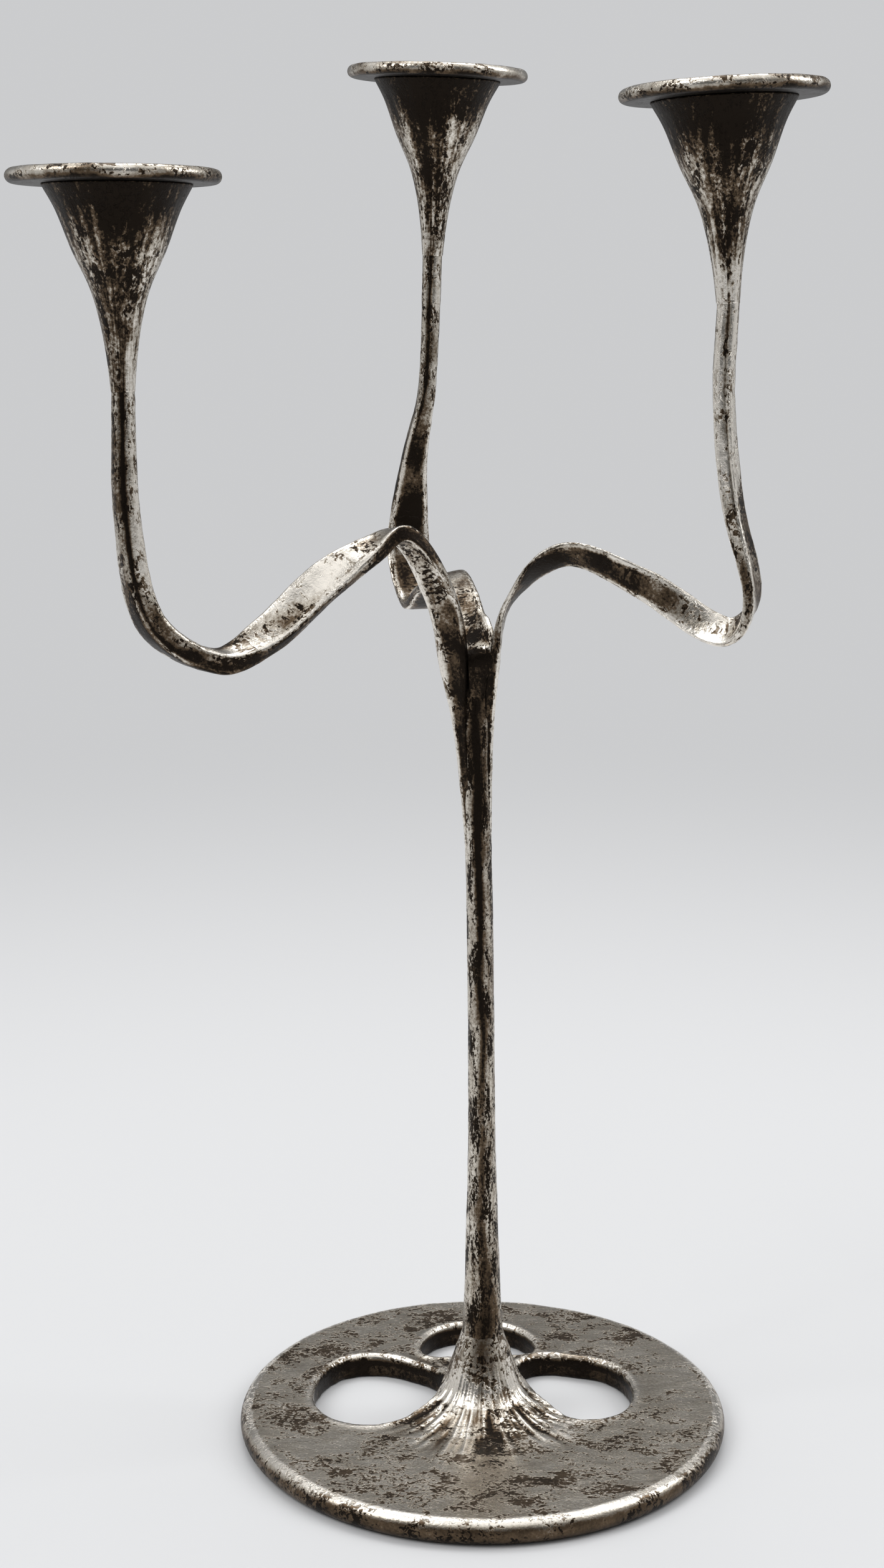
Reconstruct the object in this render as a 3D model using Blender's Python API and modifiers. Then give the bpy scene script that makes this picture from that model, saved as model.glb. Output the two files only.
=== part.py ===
"""Three-light table candelabrum.

A round cast base with a flared foot carries a slim stem. Three twisted ribbon arms leave its crown,
crest, dip and rise again into trumpet cups. A nozzle lifts out of each cup: a flat drip pan with a
candle socket through it. Metres, +Z up, origin at the middle of the underside.
"""
import math
from collections import namedtuple

import bmesh
import bpy
from mathutils import Matrix, Vector

FIT_GAP = 0.0003

# Base disc and flared foot
BASE_RADIUS = 0.100
BASE_THICKNESS = 0.010
BASE_EDGE_ROUND = 0.0048
FOOT_SPREAD = 0.027
FOOT_FLARE_POWER = 9.0
FOOT_WAIST = 0.0105
NECK_RADIUS = 0.0082
NECK_HEIGHT = 0.042

# Openings through the base: middle, then how far the outline reaches from it every 30 degrees from +X
Opening = namedtuple("Opening", "x y reaches")
BASE_OPENINGS = (
    Opening(-0.043, 0.010, (0.0280, 0.0290, 0.0278, 0.0306, 0.0315, 0.0280,
                            0.0272, 0.0292, 0.0315, 0.0307, 0.0264, 0.0276)),
    Opening(0.040, 0.012, (0.0228, 0.0234, 0.0256, 0.0269, 0.0330, 0.0310,
                           0.0250, 0.0218, 0.0222, 0.0285, 0.0286, 0.0249)),
    Opening(0.000, 0.057, (0.0223, 0.0188, 0.0169, 0.0156, 0.0171, 0.0205,
                           0.0244, 0.0280, 0.0185, 0.0142, 0.0155, 0.0252)),
)

# Stem: waist, belly and lobed crown
CROWN_HEIGHT = 0.317
CROWN_RADIUS = 0.0098
CROWN_LOBES = 0.18
CROWN_LEAN_X = -0.0052
CROWN_LEAN_Y = -0.0010
LOBE_TURN = math.radians(28)
WAIST_RADIUS = 0.0053
WAIST_SHARE = 0.52

# Fasteners
STEM_STUD_RADIUS = 0.0030
STEM_STUD_REACH = 0.016
ARM_STUD_RADIUS = 0.00125
ARM_STUD_REACH = 0.0075
CUP_STUD_RADIUS = 0.0020
CUP_STUD_REACH = 0.009

# Trumpet cup: radius at depths below the mouth
CUP_LENGTH = 0.070
CUP_MOUTH_RADIUS = 0.0260
CUP_TIP_RADIUS = 0.0042
CUP_POCKET_DEPTH = 0.022

# Nozzle: drip pan and candle socket
PAN_RADIUS = 0.037
PAN_THICKNESS = 0.005
PAN_DISH = 0.0014
PAN_RIM_WIDTH = 0.0045
CANDLE_BORE_RADIUS = 0.0110
SOCKET_WALL = 0.0012
SOCKET_LIP_WIDTH = 0.0025
NOZZLE_PLAY = 0.0015

# Arms: ribbons with a shallow channel on one face
CHANNEL_DEPTH = 0.0010
RIBBON_SQUARENESS = 2.7
ROOT_THICKNESS = 0.0052

# Facets
TURNED_STEPS = 24
BASE_STEPS = 60
OPENING_STEPS = 24
ARM_RINGS = 38
ARM_SIDES = 14
STEM_RINGS = 26
STEM_SIDES = 24

# One arm and its cup. angle and reach place the cup, root_angle and root_offset the seat on the crown,
# lean tilts the cup and nozzle_shift is where the loose nozzle lies in it. A stop is one place along the
# ribbon: how far out and aside it lies as shares of the reach, how far up as a share of the rise from the
# crown to the cup's tip, then width, thickness and twist in degrees.
Stop = namedtuple("Stop", "out up aside width thick twist")
Arm = namedtuple("Arm", "angle reach mouth lean_x lean_y nozzle_shift root_angle root_offset root_width "
                        "root_twist tip_twist stops")
ARMS = {
    "left": Arm(
        angle=-152.0, reach=0.1450, mouth=0.4951, lean_x=0.0, lean_y=0.0, nozzle_shift=-0.0012,
        root_angle=-152.0, root_offset=0.0075, root_width=0.0115, root_twist=35.0, tip_twist=0.0,
        stops=(
            Stop(0.131, 0.253, 0.0, 0.0125, 0.0045, 45.0),
            Stop(0.241, 0.486, 0.0, 0.0110, 0.0068, 18.0),
            Stop(0.345, 0.442, 0.0, 0.0135, 0.0064, -20.0),
            Stop(0.480, 0.337, 0.0, 0.0150, 0.0060, -50.0),
            Stop(0.640, 0.167, 0.0, 0.0145, 0.0070, -38.0),
            Stop(0.775, 0.098, 0.0, 0.0115, 0.0088, -5.0),
            Stop(0.945, 0.244, 0.0, 0.0115, 0.0096, 8.0),
            Stop(0.998, 0.588, 0.0, 0.0098, 0.0092, 0.0),
        )),
    "right": Arm(
        angle=-27.75, reach=0.0930, mouth=0.5252, lean_x=-0.045, lean_y=0.0, nozzle_shift=0.0,
        root_angle=-12.0, root_offset=0.0085, root_width=0.0110, root_twist=208.0, tip_twist=0.0,
        stops=(
            Stop(0.105, 0.183, 0.0, 0.0115, 0.0036, 190.0),
            Stop(0.355, 0.328, 0.0, 0.0115, 0.0034, 128.0),
            Stop(0.700, 0.263, 0.0, 0.0125, 0.0034, 100.0),
            Stop(1.050, 0.147, 0.0, 0.0120, 0.0042, 52.0),
            Stop(1.165, 0.241, 0.0, 0.0110, 0.0052, 5.0),
            Stop(1.075, 0.492, 0.0, 0.0095, 0.0068, 0.0),
            Stop(1.028, 0.760, 0.0, 0.0082, 0.0078, 0.0),
        )),
    "back": Arm(
        angle=100.3, reach=0.1040, mouth=0.5450, lean_x=0.030, lean_y=-0.030, nozzle_shift=0.0,
        root_angle=92.0, root_offset=0.0078, root_width=0.0120, root_twist=0.0, tip_twist=0.0,
        stops=(
            Stop(0.095, 0.100, 0.040, 0.0125, 0.0046, 0.0),
            Stop(0.225, 0.168, 0.050, 0.0130, 0.0044, -6.0),
            Stop(0.420, 0.196, 0.058, 0.0130, 0.0044, -10.0),
            Stop(0.640, 0.150, 0.091, 0.0130, 0.0046, -8.0),
            Stop(0.860, 0.090, 0.111, 0.0132, 0.0048, 0.0),
            Stop(1.067, 0.227, 0.111, 0.0185, 0.0046, 4.0),
            Stop(1.052, 0.462, 0.088, 0.0112, 0.0062, 0.0),
            Stop(1.014, 0.662, 0.040, 0.0076, 0.0074, 0.0),
        )),
}

# Finishes: linear colour, roughness; every piece is metal
AGED_SILVER = (0.42, 0.39, 0.35)
DARK_SILVER = (0.22, 0.20, 0.17)
BARE_BRASS = (0.55, 0.40, 0.18)
STEEL = (0.45, 0.45, 0.46)

SOCKET_RADIUS = CANDLE_BORE_RADIUS + SOCKET_WALL
CUP_POCKET_RADIUS = SOCKET_RADIUS + NOZZLE_PLAY


def clear_scene():
    for thing in list(bpy.data.objects):
        bpy.data.objects.remove(thing, do_unlink=True)


def new_collection(name):
    group = bpy.data.collections.new(name)
    bpy.context.scene.collection.children.link(group)
    return group


def metal(name, colour, roughness):
    finish = bpy.data.materials.new(name)
    finish.use_nodes = True
    shader = finish.node_tree.nodes["Principled BSDF"]
    shader.inputs["Base Color"].default_value = (*colour, 1.0)
    shader.inputs["Metallic"].default_value = 1.0
    shader.inputs["Roughness"].default_value = roughness
    return finish


def add_object(name, mesh, group, colour=None, roughness=0.3, parent=None):
    """Link a mesh as a named object with its own finish, smooth with sharp edges kept."""
    piece = bpy.data.objects.new(name, mesh)
    group.objects.link(piece)
    if colour:
        mesh.materials.append(metal(name + "_finish", colour, roughness))
    mesh.shade_smooth()
    mesh.set_sharp_from_angle(angle=math.radians(40))
    piece.parent = parent
    return piece


def smooth_through(stops, steps):
    """Points on a smooth curve through the stops, which are tuples of numbers, spaced evenly in share."""
    knots = [0.0]
    for before, after in zip(stops, stops[1:]):
        span = math.dist(before[:3], after[:3])
        knots.append(knots[-1] + math.sqrt(span))
    curve = []
    for step in range(steps + 1):
        at = knots[-1] * step / steps
        leg = 0
        while leg < len(stops) - 2 and at > knots[leg + 1]:
            leg += 1
        curve.append(cubic_leg(stops, knots, leg, at))
    return curve


def cubic_leg(stops, knots, leg, at):
    """One point of the curve between two stops, with slopes taken from their neighbours."""
    low, high = knots[leg], knots[leg + 1]
    span = high - low
    share = (at - low) / span
    start_slope = slope_at(stops, knots, leg)
    end_slope = slope_at(stops, knots, leg + 1)
    pull = share * share * (3 - 2 * share)
    lead = share * (1 - share) ** 2 * span
    trail = share * share * (share - 1) * span
    return tuple(
        a + (b - a) * pull + s * lead + e * trail
        for a, b, s, e in zip(stops[leg], stops[leg + 1], start_slope, end_slope))


def slope_at(stops, knots, index):
    before = max(index - 1, 0)
    after = min(index + 1, len(stops) - 1)
    span = knots[after] - knots[before]
    return tuple((b - a) / span for a, b in zip(stops[before], stops[after]))


def turned(name, profile, steps, group, colour, roughness, parent=None):
    """A solid turned about Z from a profile that runs down its outer side."""
    mesh = bpy.data.meshes.new(name)
    closed = profile[0][0] > 0
    edges = [(i, i + 1) for i in range(len(profile) - 1)]
    if closed:
        edges.append((len(profile) - 1, 0))
    mesh.from_pydata([(radius, 0.0, height) for radius, height in profile], edges, [])
    piece = add_object(name, mesh, group, colour, roughness, parent)
    screw = piece.modifiers.new("turn", "SCREW")
    screw.axis = "Z"
    screw.angle = math.tau
    screw.steps = steps
    screw.render_steps = steps
    screw.use_merge_vertices = True
    screw.merge_threshold = 1e-6
    screw.use_smooth_shade = True
    return piece


def loft(name, rings, group, colour, roughness):
    """A closed solid skinned over rings of points that lie one above the other."""
    shape = bmesh.new()
    loops = [[shape.verts.new(point) for point in ring] for ring in rings]
    count = len(loops[0])
    for lower, upper in zip(loops, loops[1:]):
        for i in range(count):
            j = (i + 1) % count
            shape.faces.new((lower[i], lower[j], upper[j], upper[i]))
    shape.faces.new(list(reversed(loops[0])))
    shape.faces.new(loops[-1])
    bmesh.ops.recalc_face_normals(shape, faces=shape.faces[:])
    mesh = bpy.data.meshes.new(name)
    shape.to_mesh(mesh)
    shape.free()
    return add_object(name, mesh, group, colour, roughness)


def rod(name, start, end, radius, group, colour=None, sides=14):
    """A plain round rod between two points."""
    line = end - start
    place = Matrix.Translation((start + end) / 2) @ line.to_track_quat("Z", "Y").to_matrix().to_4x4()
    shape = bmesh.new()
    bmesh.ops.create_cone(shape, cap_ends=True, segments=sides, radius1=radius, radius2=radius,
                          depth=line.length, matrix=place)
    mesh = bpy.data.meshes.new(name)
    shape.to_mesh(mesh)
    shape.free()
    return add_object(name, mesh, group, colour, 0.35)


def cut(piece, tool):
    """Cut the tool's space out of a piece, and keep the tool as a hidden guide."""
    tool.hide_render = True
    tool.display_type = "WIRE"
    step = piece.modifiers.new("cut " + tool.name, "BOOLEAN")
    step.operation = "DIFFERENCE"
    step.solver = "EXACT"
    step.object = tool


def stud_hole(piece, name, mouth, direction, depth, radius, cutters):
    """A blind round hole that starts just outside its mouth."""
    tool = rod(name, mouth - direction * depth * 0.2, mouth + direction * depth, radius, cutters)
    cut(piece, tool)


def squircle(half_u, half_v, squareness, count):
    """Points of a rounded outline between an ellipse and a rectangle."""
    power = 2.0 / squareness
    for i in range(count):
        turn = math.tau * i / count
        across, along = math.cos(turn), math.sin(turn)
        yield (half_u * math.copysign(abs(across) ** power, across),
               half_v * math.copysign(abs(along) ** power, along))


def outline_reach(hole, turn):
    """How far an opening reaches at a turn, on a smooth closed outline through its named reaches."""
    count = len(hole.reaches)
    at = turn / math.tau * count
    leg = math.floor(at)
    share = at - leg
    before, start, end, after = (hole.reaches[(leg + shift) % count] for shift in (-1, 0, 1, 2))
    pull = share * share * (3 - 2 * share)
    lead = share * (1 - share) ** 2 * (end - before) / 2
    trail = share * share * (share - 1) * (after - start) / 2
    return start + (end - start) * pull + lead + trail


def build_base(parts, cutters):
    stud_hole_radius = STEM_STUD_RADIUS + FIT_GAP
    floor = NECK_HEIGHT - STEM_STUD_REACH - FIT_GAP
    middle = BASE_THICKNESS / 2
    profile = [(0.0, floor), (stud_hole_radius, floor), (stud_hole_radius, NECK_HEIGHT)]
    flare = NECK_HEIGHT - BASE_THICKNESS
    flare_steps = 13
    for i in range(flare_steps + 1):
        drop = i / flare_steps
        spread = FOOT_WAIST * drop + (FOOT_SPREAD - FOOT_WAIST) * drop ** FOOT_FLARE_POWER
        profile.append((NECK_RADIUS + spread, NECK_HEIGHT - flare * drop))
    edge_steps = 6
    for i in range(edge_steps + 1):
        turn = math.pi * i / edge_steps
        profile.append((BASE_RADIUS - BASE_EDGE_ROUND + BASE_EDGE_ROUND * math.sin(turn),
                        middle + middle * math.cos(turn)))
    profile.append((0.0, 0.0))
    base = turned("base_casting", profile, BASE_STEPS, parts, AGED_SILVER, 0.22)
    for number, hole in enumerate(BASE_OPENINGS, 1):
        outline = []
        for i in range(OPENING_STEPS):
            turn = math.tau * i / OPENING_STEPS
            reach = outline_reach(hole, turn)
            outline.append((hole.x + reach * math.cos(turn), hole.y + reach * math.sin(turn)))
        rings = [[(x, y, height) for x, y in outline] for height in (-BASE_THICKNESS, NECK_HEIGHT)]
        cut(base, loft("base_opening_%d" % number, rings, cutters, None, 0.3))
    return base


def stem_rings():
    """Rings of the stem from the foot's neck to the lobed crown."""
    bottom = NECK_HEIGHT + FIT_GAP
    waist = bottom + (CROWN_HEIGHT - bottom) * WAIST_SHARE
    knee = bottom + (CROWN_HEIGHT - bottom) * 0.25
    shoulder = bottom + (CROWN_HEIGHT - bottom) * 0.87
    spread = CROWN_RADIUS - WAIST_RADIUS
    stops = (
        (bottom, 0.0, 0.0, NECK_RADIUS, 0.0),
        (knee, CROWN_LEAN_X * 0.10, 0.0, WAIST_RADIUS + (NECK_RADIUS - WAIST_RADIUS) * 0.2, 0.03),
        (waist, CROWN_LEAN_X * 0.30, 0.0, WAIST_RADIUS, CROWN_LOBES * 0.4),
        (shoulder, CROWN_LEAN_X * 0.60, CROWN_LEAN_Y * 0.5, WAIST_RADIUS + spread * 0.33, CROWN_LOBES * 0.8),
        (CROWN_HEIGHT, CROWN_LEAN_X, CROWN_LEAN_Y, CROWN_RADIUS, CROWN_LOBES),
    )
    rings = []
    for height, lean_x, lean_y, radius, lobes in smooth_through(stops, STEM_RINGS):
        ring = []
        for i in range(STEM_SIDES):
            turn = math.tau * i / STEM_SIDES
            reach = radius * (1 + lobes * math.cos(3 * (turn + LOBE_TURN)))
            ring.append((lean_x + reach * math.cos(turn), lean_y + reach * math.sin(turn), height))
        rings.append(ring)
    return rings


def build_stem(parts, cutters):
    stem = loft("stem", stem_rings(), parts, AGED_SILVER, 0.3)
    bottom = Vector((0.0, 0.0, NECK_HEIGHT + FIT_GAP))
    up = Vector((0.0, 0.0, 1.0))
    stud_hole(stem, "stem_stud_hole", bottom, up, STEM_STUD_REACH + FIT_GAP,
              STEM_STUD_RADIUS + FIT_GAP, cutters)
    rod("stem_stud", bottom - up * STEM_STUD_REACH, bottom + up * (STEM_STUD_REACH - FIT_GAP),
        STEM_STUD_RADIUS, parts, STEEL)
    return stem


def cup_axis(arm):
    return Vector((arm.lean_x, arm.lean_y, 1.0)).normalized()


def cup_mouth(arm):
    angle = math.radians(arm.angle)
    return Vector((arm.reach * math.cos(angle), arm.reach * math.sin(angle), arm.mouth))


def arm_ends(arm):
    """The middle of an arm's seat on the crown and of its tip under the cup."""
    angle = math.radians(arm.root_angle)
    root = Vector((CROWN_LEAN_X + arm.root_offset * math.cos(angle),
                   CROWN_LEAN_Y + arm.root_offset * math.sin(angle), CROWN_HEIGHT + FIT_GAP))
    tip = cup_mouth(arm) - cup_axis(arm) * (CUP_LENGTH + FIT_GAP)
    return root, tip


def arm_stops(arm):
    """World places of an arm's stops, each with its width, thickness and twist."""
    angle = math.radians(arm.angle)
    outward = Vector((math.cos(angle), math.sin(angle), 0.0))
    sideways = Vector((-math.sin(angle), math.cos(angle), 0.0))
    root, tip = arm_ends(arm)
    tip_width = 2 * CUP_TIP_RADIUS - FIT_GAP
    stops = [(*root, arm.root_width, ROOT_THICKNESS, arm.root_twist)]
    for stop in arm.stops:
        place = (outward * stop.out + sideways * stop.aside) * arm.reach
        height = root.z + (tip.z - root.z) * stop.up
        stops.append((place.x, place.y, height, stop.width, stop.thick, stop.twist))
    stops.append((*tip, tip_width, tip_width, arm.tip_twist))
    return stops


def ribbon_section(width, thick, count):
    """Outline of the ribbon, with a channel in its upper face that fades as the ribbon turns round."""
    flatness = max(0.0, 1.0 - thick / width)
    squareness = 2.0 + (RIBBON_SQUARENESS - 2.0) * min(1.0, 3.0 * flatness)
    for u, v in squircle(width / 2, thick / 2, squareness, count):
        if v > 0:
            v -= CHANNEL_DEPTH * flatness * max(0.0, 1 - (2.4 * u / width) ** 2)
        yield u, v


def arm_rings(arm):
    angle = math.radians(arm.angle)
    sideways = Vector((-math.sin(angle), math.cos(angle), 0.0))
    route = smooth_through(arm_stops(arm), ARM_RINGS)
    middles = [Vector(stop[:3]) for stop in route]
    rings = []
    for i, (x, y, z, width, thick, twist) in enumerate(route):
        ahead = middles[min(i + 1, ARM_RINGS)] - middles[max(i - 1, 0)]
        if i == 0:
            ahead = Vector((0.0, 0.0, 1.0))
        if i == ARM_RINGS:
            ahead = cup_axis(arm)
        ahead.normalize()
        side = (sideways - ahead * sideways.dot(ahead)).normalized()
        lift = ahead.cross(side)
        turn = math.radians(twist)
        across = side * math.cos(turn) + lift * math.sin(turn)
        outer = lift * math.cos(turn) - side * math.sin(turn)
        rings.append([middles[i] + across * u + outer * v
                      for u, v in ribbon_section(width, thick, ARM_SIDES)])
    return rings, middles


def build_arm(name, arm, stem, parts, cutters):
    rings, middles = arm_rings(arm)
    ribbon = loft("arm_" + name, rings, parts, AGED_SILVER, 0.3)
    root, tip = arm_ends(arm)
    axis = cup_axis(arm)
    lead = next(point for point in middles if (point - root).length > ARM_STUD_REACH)
    grow = (lead - root).normalized()
    seat = root - Vector((0.0, 0.0, FIT_GAP))
    hole = ARM_STUD_RADIUS + FIT_GAP
    depth = ARM_STUD_REACH + FIT_GAP
    stud_hole(ribbon, "arm_root_hole_" + name, root, grow, depth, hole, cutters)
    stud_hole(stem, "crown_hole_" + name, seat, -grow, depth, hole, cutters)
    rod("arm_stud_" + name, seat - grow * (depth - FIT_GAP), root + grow * (depth - FIT_GAP),
        ARM_STUD_RADIUS, parts, STEEL)
    stud_hole(ribbon, "arm_tip_hole_" + name, tip, -axis, CUP_STUD_REACH + FIT_GAP,
              CUP_STUD_RADIUS + FIT_GAP, cutters)
    rod("cup_stud_" + name, tip - axis * CUP_STUD_REACH, tip + axis * CUP_STUD_REACH,
        CUP_STUD_RADIUS, parts, STEEL)


def cup_profile():
    """Half section of a trumpet cup below its mouth at height zero."""
    belly = CUP_MOUTH_RADIUS - CUP_TIP_RADIUS
    stops = (
        (0.0, CUP_MOUTH_RADIUS, 0.0),
        (-CUP_LENGTH * 0.12, CUP_TIP_RADIUS + belly * 0.79, 0.0),
        (-CUP_LENGTH * 0.31, CUP_TIP_RADIUS + belly * 0.555, 0.0),
        (-CUP_LENGTH * 0.49, CUP_TIP_RADIUS + belly * 0.29, 0.0),
        (-CUP_LENGTH * 0.65, CUP_TIP_RADIUS + belly * 0.145, 0.0),
        (-CUP_LENGTH * 0.83, CUP_TIP_RADIUS + belly * 0.05, 0.0),
        (-CUP_LENGTH, CUP_TIP_RADIUS, 0.0),
    )
    hole = CUP_STUD_RADIUS + FIT_GAP
    hole_top = -CUP_LENGTH + CUP_STUD_REACH
    profile = [(0.0, -CUP_POCKET_DEPTH), (CUP_POCKET_RADIUS, -CUP_POCKET_DEPTH), (CUP_POCKET_RADIUS, 0.0)]
    profile += [(radius, height) for height, radius, _ in smooth_through(stops, 14)]
    profile += [(hole, -CUP_LENGTH), (hole, hole_top), (0.0, hole_top)]
    return profile


def pan_profile():
    """Half section of a drip pan standing on height zero: a dished top inside a rounded rim."""
    middle = PAN_THICKNESS / 2
    bore = SOCKET_RADIUS + FIT_GAP
    rim = PAN_RADIUS - middle
    profile = [(bore, PAN_THICKNESS - PAN_DISH), (rim - PAN_RIM_WIDTH, PAN_THICKNESS - PAN_DISH)]
    round_steps = 6
    for i in range(round_steps + 1):
        turn = math.pi * i / round_steps
        profile.append((rim + middle * math.sin(turn), middle + middle * math.cos(turn)))
    profile.append((bore, 0.0))
    return profile


def socket_profile():
    """Half section of a candle socket: a closed sleeve that hangs by its lip on the pan's dish."""
    lip_foot = PAN_THICKNESS - PAN_DISH + FIT_GAP
    lip_top = lip_foot + SOCKET_WALL
    foot = FIT_GAP - CUP_POCKET_DEPTH
    return [
        (0.0, foot + SOCKET_WALL),
        (CANDLE_BORE_RADIUS, foot + SOCKET_WALL),
        (CANDLE_BORE_RADIUS, lip_top),
        (SOCKET_RADIUS + SOCKET_LIP_WIDTH * 0.8, lip_top),
        (SOCKET_RADIUS + SOCKET_LIP_WIDTH, lip_top - SOCKET_WALL * 0.4),
        (SOCKET_RADIUS + SOCKET_LIP_WIDTH, lip_foot),
        (SOCKET_RADIUS, lip_foot),
        (SOCKET_RADIUS, foot),
        (0.0, foot),
    ]


def build_cup(name, arm, parts):
    """The trumpet cup and the nozzle that lifts out of it along the cup's axis."""
    axis = bpy.data.objects.new("cup_axis_" + name, None)
    parts.objects.link(axis)
    axis.rotation_mode = "QUATERNION"
    axis.rotation_quaternion = Vector((0.0, 0.0, 1.0)).rotation_difference(cup_axis(arm))
    axis.location = cup_mouth(arm)
    turned("cup_" + name, cup_profile(), TURNED_STEPS, parts, DARK_SILVER, 0.32, axis)
    nozzle = bpy.data.objects.new("nozzle_axis_" + name, None)
    parts.objects.link(nozzle)
    nozzle.parent = axis
    nozzle.location = (arm.nozzle_shift, 0.0, FIT_GAP)
    turned("drip_pan_" + name, pan_profile(), TURNED_STEPS + 6, parts, AGED_SILVER, 0.2, nozzle)
    turned("candle_socket_" + name, socket_profile(), TURNED_STEPS - 4, parts, BARE_BRASS, 0.35, nozzle)


def main():
    clear_scene()
    parts = new_collection("candelabrum")
    cutters = new_collection("cutters")
    build_base(parts, cutters)
    stem = build_stem(parts, cutters)
    for name, arm in ARMS.items():
        build_arm(name, arm, stem, parts, cutters)
        build_cup(name, arm, parts)


main()
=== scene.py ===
"""Dressed model of a three-light candelabrum in aged silver plate.

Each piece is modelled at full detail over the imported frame: a pierced cast base with a ribbed foot, a stem with a
hollow front, three ribbon arms, three trumpet cups and the drip pans and candle sockets that lift out of them.
Metres, +Z up, origin at the middle of the underside.
"""

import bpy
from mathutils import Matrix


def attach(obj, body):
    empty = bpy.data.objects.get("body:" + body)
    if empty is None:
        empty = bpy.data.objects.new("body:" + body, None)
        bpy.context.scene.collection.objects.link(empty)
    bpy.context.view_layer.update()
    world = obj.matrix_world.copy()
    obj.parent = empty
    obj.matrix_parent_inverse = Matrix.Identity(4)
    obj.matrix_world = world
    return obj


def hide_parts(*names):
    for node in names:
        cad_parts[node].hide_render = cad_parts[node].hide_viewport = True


bl_info = {
    "name": "Three-light candelabrum",
    "version": (1, 0, 0),
    "blender": (4, 5, 0),
    "location": "3D View > Sidebar > Candelabrum",
    "description": "Pierced base, stem, ribbon arms, trumpet cups and lift-out nozzles in aged silver plate",
    "category": "Add Mesh",
}

import math
from collections import namedtuple
from functools import partial
from itertools import accumulate, pairwise

import bmesh
import bpy
from mathutils import Matrix, Vector, noise

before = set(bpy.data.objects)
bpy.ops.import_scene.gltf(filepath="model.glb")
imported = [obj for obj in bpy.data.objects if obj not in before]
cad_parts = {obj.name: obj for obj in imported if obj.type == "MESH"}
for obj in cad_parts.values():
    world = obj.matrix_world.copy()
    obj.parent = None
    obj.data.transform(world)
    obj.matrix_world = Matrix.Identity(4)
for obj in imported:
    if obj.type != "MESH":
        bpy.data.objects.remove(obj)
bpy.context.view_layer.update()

# How finely the pieces are meshed, and how close points lie that are joined
BASE_VOXEL = 0.0011
BASE_SMOOTHINGS = 7
SPIN_STEPS = 128
SOCKET_STEPS = 96
STEM_ROWS = 300
STEM_COLUMNS = 96
ARM_ROWS = 440
ARM_COLUMNS = 72
CORNER_STEPS = 5
WELD_DISTANCE = 1e-6

# Inside this radius and above this height the base's mesh is finer
RIBBED_RADIUS = 0.046
RIBBED_HEIGHT = 0.009

# How sharply the foot flares at its lower end, and how often a search down it halves its range
FOOT_FLARE_POWER = 9.0
FOOT_HALVINGS = 24

# Way round a tube for which flow coordinates are laid out
FLOW_GIRTH = 0.034

# How far the crown lies off the middle of the base
CROWN_SHIFT_X = -0.0052
CROWN_SHIFT_Y = -0.0010

# How far the pocket in a cup stands off the socket
POCKET_PLAY = 0.0015

# Openings through the base: middle, then how far the outline reaches from it every 30 degrees from +X
Opening = namedtuple("Opening", "x y reaches")
BASE_OPENINGS = (
    Opening(-0.043, 0.010, (0.0280, 0.0290, 0.0278, 0.0306, 0.0315, 0.0280,
                            0.0272, 0.0292, 0.0315, 0.0307, 0.0264, 0.0276)),
    Opening(0.040, 0.012, (0.0228, 0.0234, 0.0256, 0.0269, 0.0330, 0.0310,
                           0.0250, 0.0218, 0.0222, 0.0285, 0.0286, 0.0249)),
    Opening(0.000, 0.057, (0.0223, 0.0188, 0.0169, 0.0156, 0.0171, 0.0205,
                           0.0244, 0.0280, 0.0185, 0.0142, 0.0155, 0.0252)),
)

# One arm and its cup; values left out are zero. angle, reach and mouth place the cup's mouth, root_angle and
# root_offset the seat on the crown, lean tilts the cup, nozzle_shift is where the loose nozzle lies in it and groove
# the plan angle of the line down shaft and cup. tone is how tarnished the ribbon is, front, shaft and band how
# tarnished its front side, its shaft and one side of the shaft are, and glint how strong a painted highlight on its
# dip is. taper is how much its front edge draws in down the stem, dark_below the height over the crown under which
# its root is painted black as shade, and dark_slant how much lower that is at the front edge. A stop is one place
# along the
# ribbon: how far out as a share of the reach, how far up as a share of the rise to the cup's tip, width, thickness,
# twist in degrees, and how far aside as a share of the reach.
Stop = namedtuple("Stop", "out up width thick twist aside", defaults=(0.0,))
Arm = namedtuple("Arm", "angle reach mouth groove root_angle root_offset root_width tone dark_below front shaft band "
                        "stops lean_x lean_y nozzle_shift root_twist taper dark_slant glint", defaults=(0.0,) * 7)
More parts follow.
